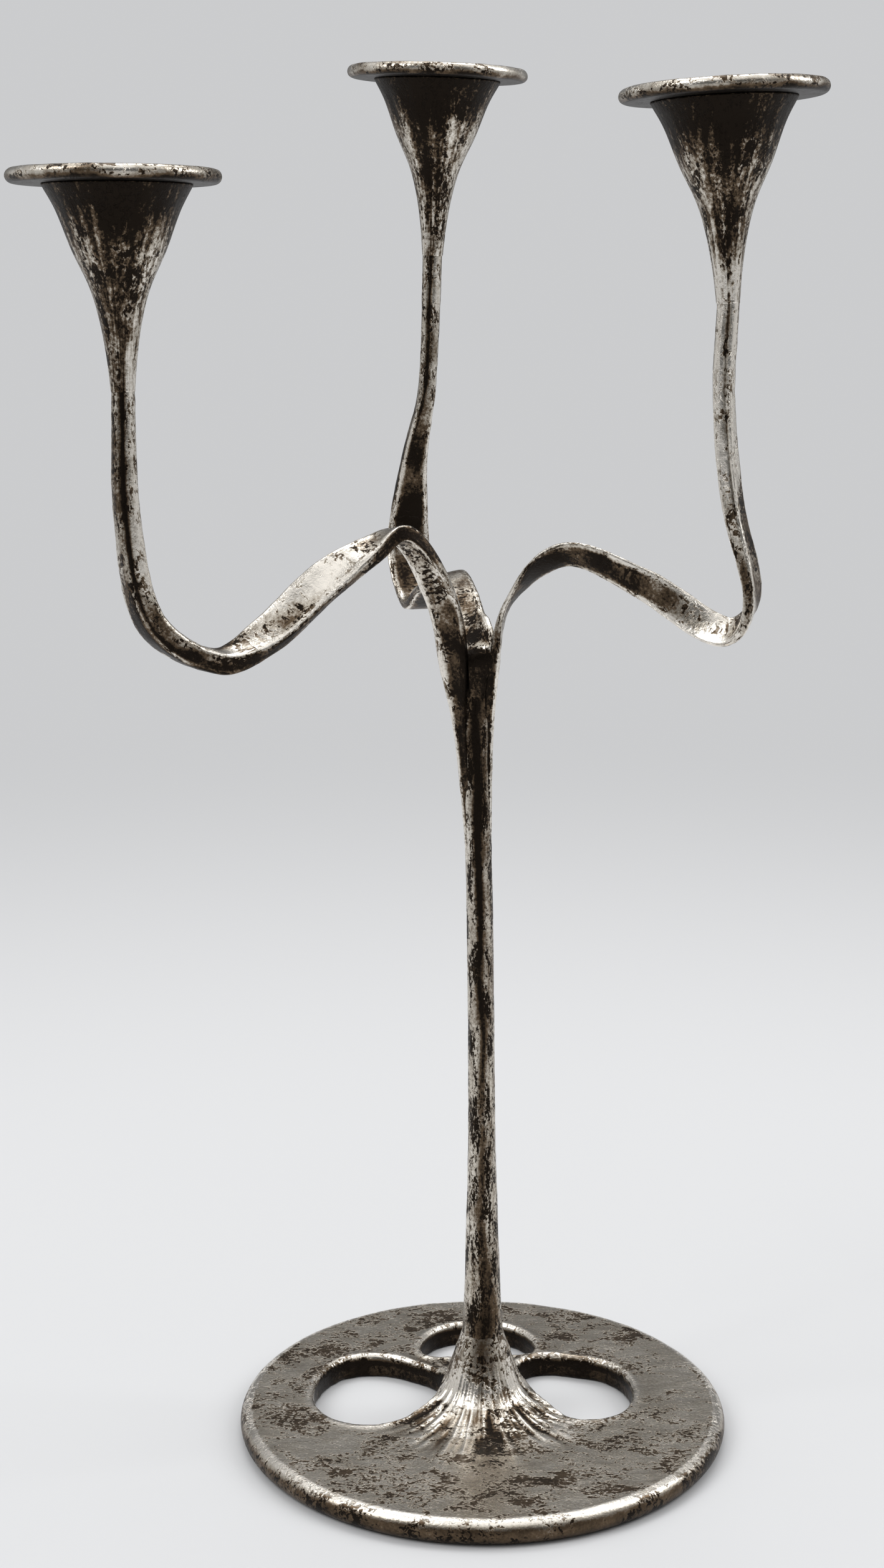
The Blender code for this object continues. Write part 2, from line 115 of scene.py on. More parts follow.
ARMS = {
    "left": Arm(
        angle=-152.0, reach=0.1450, mouth=0.4951, nozzle_shift=-0.0012, groove=-84.0,
        root_angle=-152.0, root_offset=0.0075, root_width=0.0115, root_twist=35.0,
        tone=0.16, taper=0.62, dark_below=0.0142, dark_slant=0.0044, front=0.46, shaft=0.06, band=0.36, glint=0.05,
        stops=(
            Stop(0.131, 0.253, 0.0125, 0.0045, 45.0),
            Stop(0.241, 0.486, 0.0110, 0.0068, 18.0),
            Stop(0.345, 0.442, 0.0135, 0.0064, -20.0),
            Stop(0.480, 0.337, 0.0150, 0.0060, -50.0),
            Stop(0.640, 0.167, 0.0145, 0.0070, -38.0),
            Stop(0.775, 0.098, 0.0115, 0.0088, -5.0),
            Stop(0.945, 0.244, 0.0115, 0.0096, 8.0),
            Stop(0.998, 0.588, 0.0098, 0.0092, 0.0),
        )),
    "right": Arm(
        angle=-27.75, reach=0.0930, mouth=0.5252, lean_x=-0.045, groove=-92.0,
        root_angle=-12.0, root_offset=0.0085, root_width=0.0110, root_twist=208.0,
        tone=0.28, taper=0.45, dark_below=0.0080, front=0.20, shaft=-0.20, band=0.10, glint=0.40,
        stops=(
            Stop(0.105, 0.183, 0.0115, 0.0036, 190.0),
            Stop(0.355, 0.328, 0.0115, 0.0034, 128.0),
            Stop(0.700, 0.263, 0.0125, 0.0034, 100.0),
            Stop(1.050, 0.147, 0.0120, 0.0042, 52.0),
            Stop(1.165, 0.241, 0.0110, 0.0052, 5.0),
            Stop(1.075, 0.492, 0.0095, 0.0068, 0.0),
            Stop(1.028, 0.760, 0.0082, 0.0078, 0.0),
        )),
    "back": Arm(
        angle=100.3, reach=0.1040, mouth=0.5450, lean_x=0.030, lean_y=-0.030, groove=-100.0,
        root_angle=92.0, root_offset=0.0078, root_width=0.0120,
        tone=0.44, dark_below=0.0070, front=0.30, shaft=0.24, band=0.08,
        stops=(
            Stop(0.095, 0.112, 0.0125, 0.0046, -28.0, 0.040),
            Stop(0.225, 0.168, 0.0130, 0.0044, -6.0, 0.050),
            Stop(0.420, 0.196, 0.0130, 0.0044, -10.0, 0.058),
            Stop(0.640, 0.150, 0.0130, 0.0046, -8.0, 0.091),
            Stop(0.860, 0.090, 0.0132, 0.0048, 0.0, 0.111),
            Stop(1.067, 0.227, 0.0185, 0.0046, 4.0, 0.111),
            Stop(1.052, 0.462, 0.0112, 0.0062, 0.0, 0.088),
            Stop(1.014, 0.662, 0.0076, 0.0074, 0.0, 0.040),
        )),
}

# The arms' roots run down into the stem: depth under the crown, then shares of the root's offset, width and thickness
ROOT_TAIL = (
    (0.128, 0.25, 0.15, 0.30),
    (0.082, 0.43, 0.32, 0.46),
    (0.047, 0.54, 0.52, 0.66),
    (0.020, 0.72, 0.68, 0.84),
)

# The back arm's root runs forward over the stem's top and ends in a lip between the other roots: place from the
# crown's middle, then width, thickness and twist
SADDLE_TAIL = (
    (0.0017, 0.0000, -0.0200, 0.0050, 0.0030, -10.0),
    (0.0026, -0.0038, -0.0050, 0.0080, 0.0035, -12.0),
    (0.0034, -0.0056, 0.0040, 0.0110, 0.0040, -18.0),
    (0.0032, -0.0035, 0.0088, 0.0130, 0.0042, -34.0),
    (0.0018, 0.0030, 0.0140, 0.0138, 0.0044, -46.0),
)

# The photograph's viewpoint
CAMERA_PLACE = (-0.0167, -0.8779, 0.4542)
CAMERA_TILT = 0.2056
CAMERA_LENS = 52.54
CAMERA_SENSOR = 36.0

# The floor, and the lamps: each has its place, width, height and power, and faces the middle of the object
FLOOR_RADIUS = 9.0
FLOOR_STEPS = 96
LAMP_AIM = (0.0, 0.0, 0.28)
SOFTBOXES = {
    "softbox_left": ((-1.7, -0.8, 2.0), 1.0, 1.4, 24.0),
    "softbox_right": ((1.9, 0.1, 1.7), 0.8, 1.4, 18.0),
    "softbox_top": ((0.0, 0.9, 2.4), 1.4, 0.8, 14.0),
}


def length(name, about, size):
    """A length that a user may change."""
    return bpy.props.FloatProperty(name=name, description=about, default=size, min=0.0, unit="LENGTH", precision=5)


def colour(name, about, shade):
    """A linear colour that a user may change."""
    return bpy.props.FloatVectorProperty(name=name, description=about, default=shade, size=3, min=0.0, max=1.0,
                                         subtype="COLOR")


class CandelabrumSizes(bpy.types.PropertyGroup):
    """Sizes of the pieces."""
    base_radius: length("Base radius", "Outer radius of the round base", 0.100)
    base_thickness: length("Base thickness", "Thickness of the base disc", 0.010)
    base_edge: length("Base edge", "Depth of the rounded outer edge", 0.0048)
    foot_spread: length("Foot spread", "How far the foot flares out onto the base", 0.027)
    foot_waist: length("Foot waist", "How far the foot widens before it flares", 0.0105)
    neck_radius: length("Neck radius", "Radius where the stem meets the foot", 0.0082)
    neck_height: length("Neck height", "Height where the stem meets the foot", 0.042)
    rib_height: length("Rib height", "Height of the cast ribs that run off the foot", 0.0007)
    beating: length("Beating", "How deep the hand-beaten waves of the base's top are", 0.00022)
    crown_height: length("Crown height", "Height where the arms leave the stem", 0.317)
    crown_radius: length("Crown radius", "Radius of the stem's core under the arms", 0.0064)
    saddle_height: length("Saddle height", "How far the stem's core rises between the arms", 0.005)
    waist_radius: length("Stem waist", "Radius of the stem at its slimmest", 0.0053)
    hollow_depth: length("Stem hollow", "Depth of the hollow down the stem's front", 0.0024)
    root_thickness: length("Root thickness", "Thickness of an arm where it leaves the crown", 0.0052)
    channel_depth: length("Channel depth", "Depth of the channel along the ribbons", 0.0012)
    groove_depth: length("Groove depth", "Depth of the line down each shaft and cup", 0.0009)
    cup_length: length("Cup length", "Height of a trumpet cup", 0.070)
    cup_mouth_radius: length("Cup mouth", "Radius of a trumpet cup at its mouth", 0.0260)
    cup_tip_radius: length("Cup tip", "Radius of a trumpet cup at its foot", 0.0042)
    cup_pocket_depth: length("Cup pocket", "Depth of the pocket that takes the socket", 0.022)
    pan_radius: length("Pan radius", "Radius of a drip pan", 0.037)
    pan_thickness: length("Pan thickness", "Thickness of a drip pan at its rim", 0.005)
    pan_dish: length("Pan dish", "Depth of a drip pan's dish", 0.0014)
    pan_rim: length("Pan rim", "Width of a drip pan's raised rim", 0.0045)
    candle_bore_radius: length("Candle bore", "Radius of the socket that takes the candle", 0.0110)
    socket_wall: length("Socket wall", "Wall of a candle socket", 0.0012)
    socket_lip: length("Socket lip", "Width of the lip that a candle socket hangs by", 0.0025)
    fit_gap: length("Fit gap", "Clearance between pieces", 0.0003)


class CandelabrumFinish(bpy.types.PropertyGroup):
    """Colours of the finishes and the stage."""
    silver: colour("Silver", "Polished silver plate", (0.82, 0.775, 0.705))
    worn: colour("Worn silver", "Grey silver between the polished spots", (0.52, 0.475, 0.405))
    tarnish_and_shade: colour("Tarnish", "Brown tarnish", (0.125, 0.088, 0.056))
    patina: colour("Patina", "Black patina in the hollows", (0.016, 0.012, 0.009))
    brass: colour("Brass", "Bare brass of the candle sockets", (0.52, 0.38, 0.19))
    steel: colour("Steel", "Steel of the studs", (0.45, 0.45, 0.46))
    floor: colour("Floor", "Pale studio floor and backdrop", (0.60, 0.605, 0.615))


def sizes():
    return bpy.context.scene.candelabrum_sizes


def finish_colours():
    return bpy.context.scene.candelabrum_finish


def clamp(value):
    return min(max(value, 0.0), 1.0)


def soft_step(low, high, value):
    """Smooth change from 0 at low to 1 at high, where high may be the smaller one."""
    share = clamp((value - low) / (high - low))
    return share * share * (3 - 2 * share)


def hump(value, width):
    """Smooth hump of height 1 around zero."""
    return math.exp(-(value / width) ** 2)


def grain(place, size, seed=0.0):
    """Smooth noise of about -1 to 1 with features of one size in metres."""
    return noise.noise(Vector(place) / size + Vector((seed, 1.7 * seed, -seed)))


def noise_round(turn, count, along):
    """Smooth noise of about -1 to 1 round a circle, finer with a larger count, that changes along an axis."""
    return noise.noise(Vector((count * math.cos(turn), count * math.sin(turn), along)))


def heading(angle):
    """Level direction at a plan angle in radians."""
    return Vector((math.cos(angle), math.sin(angle), 0.0))


def turn_between(one, other):
    """Smallest turn between two plan angles, in radians."""
    return (one - other + math.pi) % math.tau - math.pi


def smooth_through(stops, steps):
    """Points on a smooth curve through the stops, which are tuples of numbers."""
    knots = [0.0, *accumulate(math.sqrt(math.dist(a[:3], b[:3])) for a, b in pairwise(stops))]
    curve = []
    for step in range(steps + 1):
        at = knots[-1] * step / steps
        leg = 0
        while leg < len(stops) - 2 and at > knots[leg + 1]:
            leg += 1
        curve.append(cubic_leg(stops, knots, leg, at))
    return curve


def cubic(start, end, start_slope, end_slope, share, run=1.0):
    """A value on the curve that leaves one value and meets another at given slopes, at a share of the run."""
    pull = share * share * (3 - 2 * share)
    lead = share * (1 - share) ** 2 * run
    trail = share * share * (share - 1) * run
    return start + (end - start) * pull + start_slope * lead + end_slope * trail


def cubic_leg(stops, knots, leg, at):
    """One point of the curve between two stops, with slopes taken from their neighbours."""
    run = knots[leg + 1] - knots[leg]
    share = (at - knots[leg]) / run
    slopes = slope_at(stops, knots, leg), slope_at(stops, knots, leg + 1)
    return tuple(cubic(*values, share, run) for values in zip(stops[leg], stops[leg + 1], *slopes))


def slope_at(stops, knots, index):
    before = max(index - 1, 0)
    after = min(index + 1, len(stops) - 1)
    run = knots[after] - knots[before]
    return tuple((b - a) / run for a, b in zip(stops[before], stops[after]))


def squircle_point(half_u, half_v, squareness, turn):
    """A point of a rounded outline between an ellipse and a rectangle."""
    power = 2.0 / squareness
    across, along = math.cos(turn), math.sin(turn)
    return (half_u * math.copysign(abs(across) ** power, across),
            half_v * math.copysign(abs(along) ** power, along))


def weld(shape):
    bmesh.ops.remove_doubles(shape, verts=shape.verts[:], dist=WELD_DISTANCE)


def soften(shape, factor):
    bmesh.ops.smooth_vert(shape, verts=shape.verts[:], factor=factor, use_axis_x=True, use_axis_y=True,
                          use_axis_z=True)


def work_over(shape, change):
    """Move each point of a shape and set its tarnish, with painted shade and highlights, by a function of its place.
    """
    tarnish_and_shade = shape.verts.layers.float["tarnish_and_shade"]
    for vert in shape.verts:
        vert.co, vert[tarnish_and_shade] = change(vert.co)


def move_shape(shape, matrix):
    bmesh.ops.transform(shape, matrix=matrix, verts=shape.verts[:])


def roll_tube(marks, columns, surface):
    """A sheet rolled into a closed tube, with one row at each mark along it in metres.

    surface gives the place and tarnish, with painted shade, for a row and a share round the tube; flow coordinates
    are in metres.
    """
    rows = len(marks) - 1
    shape = bmesh.new()
    flow = shape.loops.layers.uv.new("flow")
    tarnish_and_shade = shape.verts.layers.float.new("tarnish_and_shade")
    bmesh.ops.create_grid(shape, x_segments=columns, y_segments=rows, size=1.0)
    for vert in shape.verts:
        row = round((vert.co.y + 1) / 2 * rows)
        around = (vert.co.x + 1) / 2
        for loop in vert.link_loops:
            loop[flow].uv = (FLOW_GIRTH * around, marks[row])
        vert.co, vert[tarnish_and_shade] = surface(row, around)
    weld(shape)
    bmesh.ops.holes_fill(shape, edges=[edge for edge in shape.edges if edge.is_boundary], sides=0)
    return shape


def spin_profile(profile, steps):
    """A solid spun about Z from a half section; one that stays off the axis is closed into a ring."""
    shape = bmesh.new()
    shape.verts.layers.float.new("tarnish_and_shade")
    verts = [shape.verts.new((radius, 0.0, height)) for radius, height in profile]
    edges = [shape.edges.new(pair) for pair in pairwise(verts)]
    if profile[0][0] > 0:
        edges.append(shape.edges.new((verts[-1], verts[0])))
    bmesh.ops.spin(shape, geom=verts + edges, cent=(0, 0, 0), axis=(0, 0, 1), angle=math.tau, steps=steps,
                   use_merge=True)
    weld(shape)
    return shape


def rounded(profile, corner, radius):
    """A half section with one corner rounded off."""
    before, at, after = (Vector(profile[corner + shift]) for shift in (-1, 0, 1))
    start = at + (before - at).normalized() * radius
    end = at + (after - at).normalized() * radius
    arc = []
    for step in range(CORNER_STEPS + 1):
        share = step / CORNER_STEPS
        arc.append(tuple(start * (1 - share) ** 2 + at * 2 * share * (1 - share) + end * share ** 2))
    return profile[:corner] + arc + profile[corner + 1:]


def add_object(shape, name):
    """An object in the scene with a shape for its mesh; the shape is freed."""
    mesh = bpy.data.meshes.new(name)
    shape.to_mesh(mesh)
    shape.free()
    made = bpy.data.objects.new(name, mesh)
    bpy.context.scene.collection.objects.link(made)
    return made


def finish_piece(shape, name, nodes, body, material):
    """Turn a shape into a piece that rides on a body and stands for CAD nodes."""
    bmesh.ops.recalc_face_normals(shape, faces=shape.faces[:])
    piece = add_object(shape, name)
    piece.data.shade_smooth()
    piece.data.materials.append(material)
    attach(piece, body)
    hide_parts(*nodes)


def set_inputs(tree, node, inputs):
    """Give inputs of a node their values, or link them from sockets."""
    for name, value in inputs.items():
        if isinstance(value, bpy.types.NodeSocket):
            tree.links.new(value, node.inputs[name])
        else:
            node.inputs[name].default_value = value


def add_node(tree, kind, inputs=None, **settings):
    """A shader node with its settings and inputs."""
    node = tree.nodes.new(kind)
    for key, value in settings.items():
        setattr(node, key, value)
    set_inputs(tree, node, inputs or {})
    return node


def weighted_sum(tree, parts):
    """Sum of sockets, each times its weight, on a running total."""
    total = 0.0
    for socket, weight in parts:
        step = add_node(tree, "ShaderNodeMath", {0: socket, 1: weight, 2: total}, operation="MULTIPLY_ADD")
        total = step.outputs[0]
    return total


def noise_about_zero(tree, coords, scale, detail, roughness, distortion=0.0, stretch=None):
    """Noise with its middle value taken off, on coordinates that may be stretched."""
    if stretch:
        coords = add_node(tree, "ShaderNodeMapping", {"Vector": coords, "Scale": stretch}).outputs["Vector"]
    cloud = add_node(tree, "ShaderNodeTexNoise", {"Vector": coords, "Scale": scale, "Detail": detail,
                                                  "Roughness": roughness, "Distortion": distortion})
    return add_node(tree, "ShaderNodeMath", {0: cloud.outputs["Fac"], 1: 0.5}, operation="SUBTRACT").outputs[0]


def span(tree, socket, low, high, out_low=0.0, out_high=1.0):
    """A socket's value taken from one span to another, held at the ends."""
    step = add_node(tree, "ShaderNodeMapRange",
                    {"Value": socket, "From Min": low, "From Max": high, "To Min": out_low, "To Max": out_high},
                    interpolation_type="SMOOTHSTEP")
    return step.outputs["Result"]


def new_material(name):
    """A material, its node tree, its main shader and the socket for places on the object."""
    material = bpy.data.materials.new(name)
    material.use_nodes = True
    tree = material.node_tree
    place = add_node(tree, "ShaderNodeTexCoord").outputs["Object"]
    return material, tree, tree.nodes["Principled BSDF"], place


def link_metal(tree, shader, age, stops, gloss, height, strength, depth):
    """Give a metal its colours along its age, its roughness from a span of that and its bumps from a height."""
    ramp = add_node(tree, "ShaderNodeValToRGB", {"Fac": age})
    while len(ramp.color_ramp.elements) < len(stops):
        ramp.color_ramp.elements.new(0.5)
    for element, (position, shade) in zip(ramp.color_ramp.elements, stops):
        element.position = position
        element.color = (*shade, 1.0)
    bump = add_node(tree, "ShaderNodeBump", {"Height": height, "Strength": strength, "Distance": depth})
    set_inputs(tree, shader, {"Metallic": 1.0, "Base Color": ramp.outputs["Color"],
                              "Roughness": span(tree, age, *gloss), "Normal": bump.outputs["Normal"]})


# How a silver finish has aged: streaks are stretched noise along the flow of a piece, pits are small dark marks that
# gather in patches. Each stretch is how many times the noise repeats in a metre along its three axes; smooth and dull
# are the roughness of bright and of dark metal.
Wear = namedtuple("Wear", "streak_stretch patch_stretch pit_stretch streak_gain cloud_gain fine_gain pit_gain "
                          "pit_low smooth dull bump flow_uv", defaults=(False,))
WEAR = {
    "base_silver": Wear((90.0, 200.0, 90.0), (62.0, 84.0, 62.0), (520.0, 760.0, 520.0),
                        0.4, 0.4, 0.4, 0.46, 0.014, 0.14, 0.42, 0.6),
    "stem_silver": Wear((330.0, 330.0, 40.0), (300.0, 300.0, 70.0), (1500.0, 1500.0, 560.0),
                        0.8, 0.7, 0.7, 0.56, 0.010, 0.15, 0.42, 0.6),
    "arm_silver": Wear((330.0, 50.0, 1.0), (170.0, 90.0, 1.0), (900.0, 480.0, 1.0),
                       1.0, 1.0, 0.9, 0.50, 0.03, 0.14, 0.42, 0.6, flow_uv=True),
    "cup_silver": Wear((480.0, 480.0, 90.0), (160.0, 160.0, 60.0), (800.0, 800.0, 300.0),
                       1.4, 0.5, 1.2, 0.45, 0.03, 0.17, 0.45, 0.6),
    "pan_silver": Wear((70.0, 70.0, 300.0), (110.0, 110.0, 200.0), (600.0, 600.0, 600.0),
                       0.9, 1.1, 0.5, 0.45, 0.07, 0.15, 0.40, 0.5),
}


def aged_and_shaded_silver(name):
    """Silver plate that is bright where rubbing has polished it and where highlights are painted, and brown to black
    where its tarnish attribute, which also holds painted shade, is high.
    """
    shades = finish_colours()
    wear = WEAR[name]
    material, tree, shader, place = new_material(name)
    flow = place
    if wear.flow_uv:
        flow = add_node(tree, "ShaderNodeUVMap", uv_map="flow").outputs["UV"]
    # hollow takes each point's tarnishing together with its painted shade and highlights, not only hollows.
    hollow = add_node(tree, "ShaderNodeAttribute", attribute_name="tarnish_and_shade").outputs["Fac"]
    streaks = noise_about_zero(tree, flow, 1.0, 5.0, 0.65, 0.2, wear.streak_stretch)
    clouds = noise_about_zero(tree, place, 48.0, 4.0, 0.6, 0.6)
    fine = noise_about_zero(tree, place, 900.0, 4.0, 0.65)
    marks = noise_about_zero(tree, flow, 1.0, 4.0, 0.62, 0.7, wear.pit_stretch)
    patches = noise_about_zero(tree, flow, 1.0, 3.0, 0.6, 0.5, wear.patch_stretch)
    pit_field = weighted_sum(tree, ((marks, 1.0), (patches, 1.1), (fine, 0.35)))
    pits = span(tree, pit_field, wear.pit_low, wear.pit_low + 0.10)
    # age adds the painted shade and highlights carried in hollow to the noise of tarnishing.
    age = weighted_sum(tree, ((hollow, 1.0), (streaks, wear.streak_gain), (clouds, wear.cloud_gain),
                              (fine, wear.fine_gain), (pits, wear.pit_gain)))
    stops = ((0.0, shades.silver), (0.28, shades.worn), (0.56, shades.tarnish_and_shade), (0.85, shades.patina))
    height = weighted_sum(tree, ((pits, -0.6), (streaks, 0.5), (fine, 0.4)))
    link_metal(tree, shader, age, stops, (0.0, 0.9, wear.smooth, wear.dull), height, wear.bump, 0.0006)
    return material


def plain_metal(name, shade, smooth, dull, scale):
    """Bare metal with cloudy colour, uneven gloss and fine machining lines."""
    material, tree, shader, place = new_material(name)
    clouds = noise_about_zero(tree, place, scale, 5.0, 0.65, 0.4)
    lines = noise_about_zero(tree, place, scale, 3.0, 0.6, 0.0, (1.0, 1.0, 30.0))
    age = weighted_sum(tree, ((clouds, 1.6), (lines, 0.5)))
    stops = ((0.0, shade), (0.5, tuple(channel * 0.35 for channel in shade)))
    link_metal(tree, shader, age, stops, (-0.3, 0.5, smooth, dull), lines, 0.2, 0.0003)
    return material


def foot_radius(drop):
    """Radius of the foot at a share of the way down from the neck to the disc."""
    size = sizes()
    flare = (size.foot_spread - size.foot_waist) * drop ** FOOT_FLARE_POWER
    return size.neck_radius + size.foot_waist * drop + flare


def foot_drop(radius):
    """Share of the way down the foot at which it has a radius."""
    low, high = 0.0, 1.0
    for _ in range(FOOT_HALVINGS):
        middle = (low + high) / 2
        if foot_radius(middle) < radius:
            low = middle
        else:
            high = middle
    return low


def outline_reach(hole, turn):
    """How far an opening reaches at a turn, on a smooth closed outline through its named reaches."""
    count = len(hole.reaches)
    at = turn / math.tau * count
    leg = math.floor(at)
    before, start, end, after = (hole.reaches[(leg + shift) % count] for shift in (-1, 0, 1, 2))
    return cubic(start, end, (end - before) / 2, (after - start) / 2, at - leg)


def rim_distance(x, y):
    """Distance outside the nearest opening's outline, less than zero inside it."""
    return min(math.hypot(x - hole.x, y - hole.y) - outline_reach(hole, math.atan2(y - hole.y, x - hole.x))
               for hole in BASE_OPENINGS)


def base_rays(angle, radius):
    """Cast ribs that fan out from the foot: more than zero on a rib, less between two."""
    drift = 0.5 * grain((radius, 0.0, 0.0), 0.012, 3.0)
    return noise_round(angle, 7, 30 * radius + drift) + 1.1 * noise_round(angle, 19, 55 * radius + 7.0)


def base_point(place):
    """Where a point of the rough base belongs, and how dark it is from tarnishing, painted shade and painted
    highlights.
    """
    size = sizes()
    x, y, z = place
    radius = math.hypot(x, y)
    angle = math.atan2(y, x)
    middle = size.base_thickness / 2
    flat = size.base_radius - size.base_edge
    away = rim_distance(x, y)
    wave = grain((x, y, 0.0), 0.021) + 0.5 * grain((x, y, 0.0), 0.009, 4.0)
    if radius > flat:
        a = (radius - flat) / size.base_edge
        b = (z - middle) / middle
        far = math.hypot(a, b)
        reach = flat + size.base_edge * a / far + 0.6 * size.beating * wave * soft_step(-0.6, 0.5, b / far)
        height = middle + middle * b / far + size.beating * wave * soft_step(0.2, 1.0, b / far)
        # The rounded edge darkens towards its underside, partly from tarnishing and partly as painted shade, under a
        # painted highlight along its top.
        shade_and_tarnish_below = soft_step(1.0, 0.25, b / far)
        painted_edge_highlight = hump(b / far - 0.96, 0.14)
        return Vector((x * reach / radius, y * reach / radius, height)), 0.04 + 0.60 * shade_and_tarnish_below - 0.30 * painted_edge_highlight
    # Below half its thickness the base is painted dark as shade: the underside and the lower walls of the openings.
    if z < middle:
        return Vector((x, y, z * soft_step(0.0026, 0.0008, away))), 0.80
    rays = base_rays(angle, radius)
    fan = soft_step(0.010, 0.016, radius) * soft_step(0.060, 0.030, radius)
    keep = soft_step(0.0002, 0.0015, away)
    front = turn_between(angle, -math.pi / 2)
    if radius < 0.020 and z > size.base_thickness + 0.003:
        drop = (size.neck_height - z) / (size.neck_height - size.base_thickness)
        outer = foot_radius(clamp(drop))
        if radius < outer - 0.002:
            return Vector(place), 0.6
        reach = radius + (outer + size.rib_height * rays * fan - radius) * keep
        # The foot's upper part is darker so that its lower flare shows a painted highlight; next to an opening it is
        # painted dark as shade.
        upper = soft_step(0.018, 0.032, z)
        column = hump(front, 0.22 + 0.40 * upper)
        dark = 0.24 * upper - 0.14 - 0.66 * rays * fan + 0.45 * column + 0.50 * (1 - keep)
        return Vector((x * reach / radius, y * reach / radius, z)), dark
    skirt = size.neck_height - (size.neck_height - size.base_thickness) * foot_drop(radius)
    height = max(skirt, size.base_thickness)
    edge = hump(away - 0.0012, 0.0022)
    flat_share = soft_step(0.0010, 0.0030, away)
    lift = size.beating * wave * soft_step(0.016, 0.03, radius) + size.rib_height * rays * fan + 0.0005 * edge
    rise = (height - z) * flat_share + lift * soft_step(0.0002, 0.0016, away)
    # The openings' walls are painted dark as shade; their top rims are lighter.
    wall = soft_step(0.0010, 0.0, away) * soft_step(height - 0.0005, height - 0.0028, z)
    # A darker streak runs forward over the top from the foot's front.
    front_streak = hump(x - 0.0015, 0.006) * soft_step(-0.080, -0.02, y) * soft_step(0.0, -0.01, y)
    dark = 0.25 - 0.66 * rays * fan + 0.70 * wall - 0.25 * edge * (1 - wall) + 0.30 * front_streak
    return Vector((x, y, z + rise)), dark


def rough_base():
    """The pierced base as an even, softened mesh that takes the finer forms."""
    shape = bmesh.new()
    shape.from_mesh(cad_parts["base_casting"].data)
    weld(shape)
    blank = add_object(shape, "rough_base")
    mesh = blank.data
    even = blank.modifiers.new("even", "REMESH")
    even.mode = "VOXEL"
    even.voxel_size = BASE_VOXEL
    ready = blank.evaluated_get(bpy.context.evaluated_depsgraph_get())
    shape = bmesh.new()
    shape.from_mesh(ready.data)
    bpy.data.objects.remove(blank, do_unlink=True)
    bpy.data.meshes.remove(mesh)
    for _ in range(BASE_SMOOTHINGS):
        soften(shape, 0.5)
    ribbed = set()
    for face in shape.faces:
        middle = face.calc_center_median()
        if middle.xy.length < RIBBED_RADIUS and middle.z > RIBBED_HEIGHT:
            ribbed.update(face.edges)
    bmesh.ops.subdivide_edges(shape, edges=list(ribbed), cuts=1, use_grid_fill=True)
    return shape


class CANDELABRUM_OT_base(bpy.types.Operator):
    """Cast base: pierced disc with a rounded edge, soft rims, beaten top and a ribbed foot"""
    bl_idname = "candelabrum.base"
    bl_label = "Base"

    def execute(self, context):
        shape = rough_base()
        shape.verts.layers.float.new("tarnish_and_shade")
        work_over(shape, base_point)
        soften(shape, 0.25)
        finish_piece(shape, "base", ["base_casting"], "frame", aged_and_shaded_silver("base_silver"))
        return {"FINISHED"}


def crown_middle(height):
    """The stem's middle at a height: it leans a little to the left as it rises."""
    size = sizes()
    share = clamp((height - size.neck_height) / (size.crown_height - size.neck_height))
    bend = share * (0.35 + 0.65 * share ** 3)
    return Vector((CROWN_SHIFT_X * bend, CROWN_SHIFT_Y * bend, height))


def stem_route():
    """Heights and radii of the stem's core from the foot to the crown."""
    size = sizes()
    foot = size.neck_height
    tall = size.crown_height - foot
    waist = size.waist_radius
    swell = size.neck_radius - waist
    peak = size.crown_height + size.saddle_height
    low = foot - 0.010
    drop = (foot - low) / (foot - size.base_thickness)
    stops = (
        (low - 0.004, foot_radius(drop) - 0.0012),
        (low, foot_radius(drop) + 0.0001),
        (foot, size.neck_radius + 0.0002),
        (foot + tall * 0.16, waist + swell * 0.46),
        (foot + tall * 0.30, waist + swell * 0.10),
        (foot + tall * 0.55, waist),
        (foot + tall * 0.80, waist),
        (foot + tall * 0.93, waist + (size.crown_radius - waist) * 0.45),
        (peak - 0.002, size.crown_radius),
        (peak - 0.0004, size.crown_radius * 0.8),
        (peak, size.crown_radius * 0.1),
    )
    return smooth_through([(height, radius, 0.0) for height, radius in stops], STEM_ROWS)


